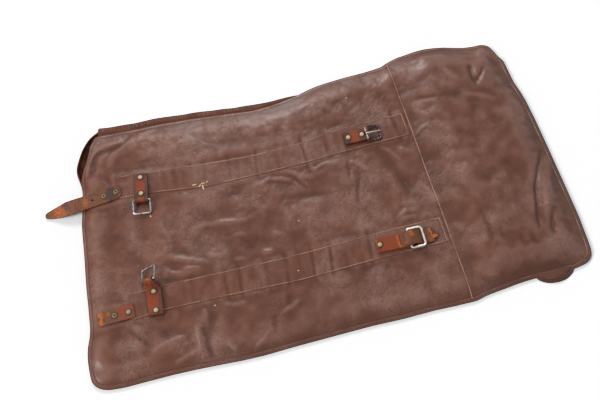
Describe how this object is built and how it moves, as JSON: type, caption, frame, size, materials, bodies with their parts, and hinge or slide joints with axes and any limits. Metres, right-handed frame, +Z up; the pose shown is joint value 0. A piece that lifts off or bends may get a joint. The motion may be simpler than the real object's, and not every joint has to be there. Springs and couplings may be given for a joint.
{
  "type": "tool roll",
  "caption": "Worn leather tool roll laid open, with tool pockets inside, bands sewn across the outer side, wire rings in folded tabs, strap billets and wire-frame buckles",
  "frame": {"origin": "underside of the open roll, in the middle of the third stretch of the main panel, where it rests", "axes": "+X along the roll from the strap end to the end panel, +Y across it towards the pocket mouths, +Z up, out of the outer side"},
  "size_m": [0.7367, 0.404, 0.0325],
  "materials": {
    "outer_leather": "worn, wrinkled brown leather",
    "inner_leather": "dry undyed side of brown leather",
    "band_leather": "rippled brown leather band",
    "tab_leather": "polished red-brown leather with dark edges",
    "strap_leather": "cracked orange-brown leather",
    "steel": "tarnished steel wire",
    "brass": "pale worn brass"
  },
  "bodies": {
    "main_1": {"main_panel_1": "outer_leather", "main_lining_1": "inner_leather", "tool_pocket_1": "inner_leather", "top_facing_1": "inner_leather", "upper_band_1": "band_leather", "lower_band_1": "band_leather", "upper_ring_tab": "tab_leather", "lower_ring_tab": "tab_leather", "upper_tab_rivet_1": "brass", "upper_tab_rivet_2": "brass", "lower_tab_rivet_1": "brass", "lower_tab_rivet_2": "brass", "billet_base": "strap_leather", "billet_rivet_1": "brass", "billet_rivet_2": "brass", "lower_strap_stub": "strap_leather", "stub_rivet_1": "brass", "stub_rivet_2": "brass"},
    "main_2": {"main_panel_2": "outer_leather", "main_lining_2": "inner_leather", "tool_pocket_2": "inner_leather", "top_facing_2": "inner_leather", "upper_band_2": "band_leather", "lower_band_2": "band_leather"},
    "main_3": {"main_panel_3": "outer_leather", "main_lining_3": "inner_leather", "tool_pocket_3": "inner_leather", "top_facing_3": "inner_leather", "upper_band_3": "band_leather", "lower_band_3": "band_leather"},
    "main_4": {"main_panel_4": "outer_leather", "main_lining_4": "inner_leather", "tool_pocket_4": "inner_leather", "top_facing_4": "inner_leather", "upper_band_4": "band_leather", "lower_band_4": "band_leather", "upper_buckle_tab": "tab_leather", "lower_buckle_tab": "tab_leather", "upper_buckle_rivet_1": "brass", "upper_buckle_rivet_2": "brass", "lower_buckle_rivet_1": "brass", "lower_buckle_tongue": "steel", "strap_remnant": "strap_leather"},
    "end_near": {"end_panel_near": "outer_leather", "end_lining_near": "inner_leather", "end_pouch_near": "inner_leather"},
    "end_tip": {"end_panel_tip": "outer_leather", "end_lining_tip": "inner_leather", "end_pouch_tip": "inner_leather"},
    "billet_tail": {"billet_tail": "strap_leather"},
    "upper_ring": {"upper_ring": "steel"},
    "lower_ring": {"lower_ring": "steel"},
    "upper_frame": {"upper_buckle_frame": "steel"},
    "upper_tongue": {"upper_buckle_tongue": "steel"},
    "lower_frame": {"lower_buckle_frame": "steel"}
  },
  "joints": [
    {"name": "roll_up", "type": "hinge", "parent": "main_3", "child": "main_4", "pos_m": [0.06325, 0, 0], "axis": [0, 1, 0], "range_deg": [0, 85]},
    {"name": "roll_second", "type": "hinge", "parent": "main_3", "child": "main_2", "pos_m": [-0.06325, 0, 0], "axis": [0, -1, 0], "range_deg": [0, 85]},
    {"name": "roll_first", "type": "hinge", "parent": "main_2", "child": "main_1", "pos_m": [-0.18975, 0, 0], "axis": [0, -1, 0], "range_deg": [0, 85]},
    {"name": "end_seam_fold", "type": "hinge", "parent": "main_4", "child": "end_near", "pos_m": [0.18975, 0, 0], "axis": [0, 1, 0], "range_deg": [0, 115]},
    {"name": "end_middle_fold", "type": "hinge", "parent": "end_near", "child": "end_tip", "pos_m": [0.28525, 0, 0], "axis": [0, 1, 0], "range_deg": [0, 130]},
    {"name": "billet_bend", "type": "hinge", "parent": "main_1", "child": "billet_tail", "pos_m": [-0.308, 0.0681, 0.0112], "axis": [-0.0262, 0.9997, 0], "range_deg": [0, 90]},
    {"name": "upper_ring_turn", "type": "hinge", "parent": "main_1", "child": "upper_ring", "pos_m": [-0.2212, 0.0508, 0.01575], "axis": [-0.9917, 0.1288, 0], "range_deg": [0, 175]},
    {"name": "lower_ring_turn", "type": "hinge", "parent": "main_1", "child": "lower_ring", "pos_m": [-0.23374, -0.07503, 0.02331], "axis": [0.7861, -0.055, 0.6157], "range_deg": [0, 95]},
    {"name": "upper_frame_turn", "type": "hinge", "parent": "main_4", "child": "upper_frame", "pos_m": [0.1233, 0.073, 0.01565], "axis": [0, -1, 0], "range_deg": [0, 60]},
    {"name": "upper_tongue_turn", "type": "hinge", "parent": "upper_frame", "child": "upper_tongue", "pos_m": [0.1233, 0.073, 0.01565], "axis": [0, -1, 0], "range_deg": [0, 60]},
    {"name": "lower_frame_turn", "type": "hinge", "parent": "main_4", "child": "lower_frame", "pos_m": [0.1308, -0.1039, 0.01605], "axis": [-0.0349, -0.9994, 0], "range_deg": [0, 60]}
  ],
  "couplings": [
    {"joint": "roll_second", "follows": "roll_up", "ratio": 1},
    {"joint": "roll_first", "follows": "roll_up", "ratio": 1},
    {"joint": "end_seam_fold", "follows": "roll_up", "ratio": 1.3529},
    {"joint": "end_middle_fold", "follows": "roll_up", "ratio": 1.5294}
  ]
}
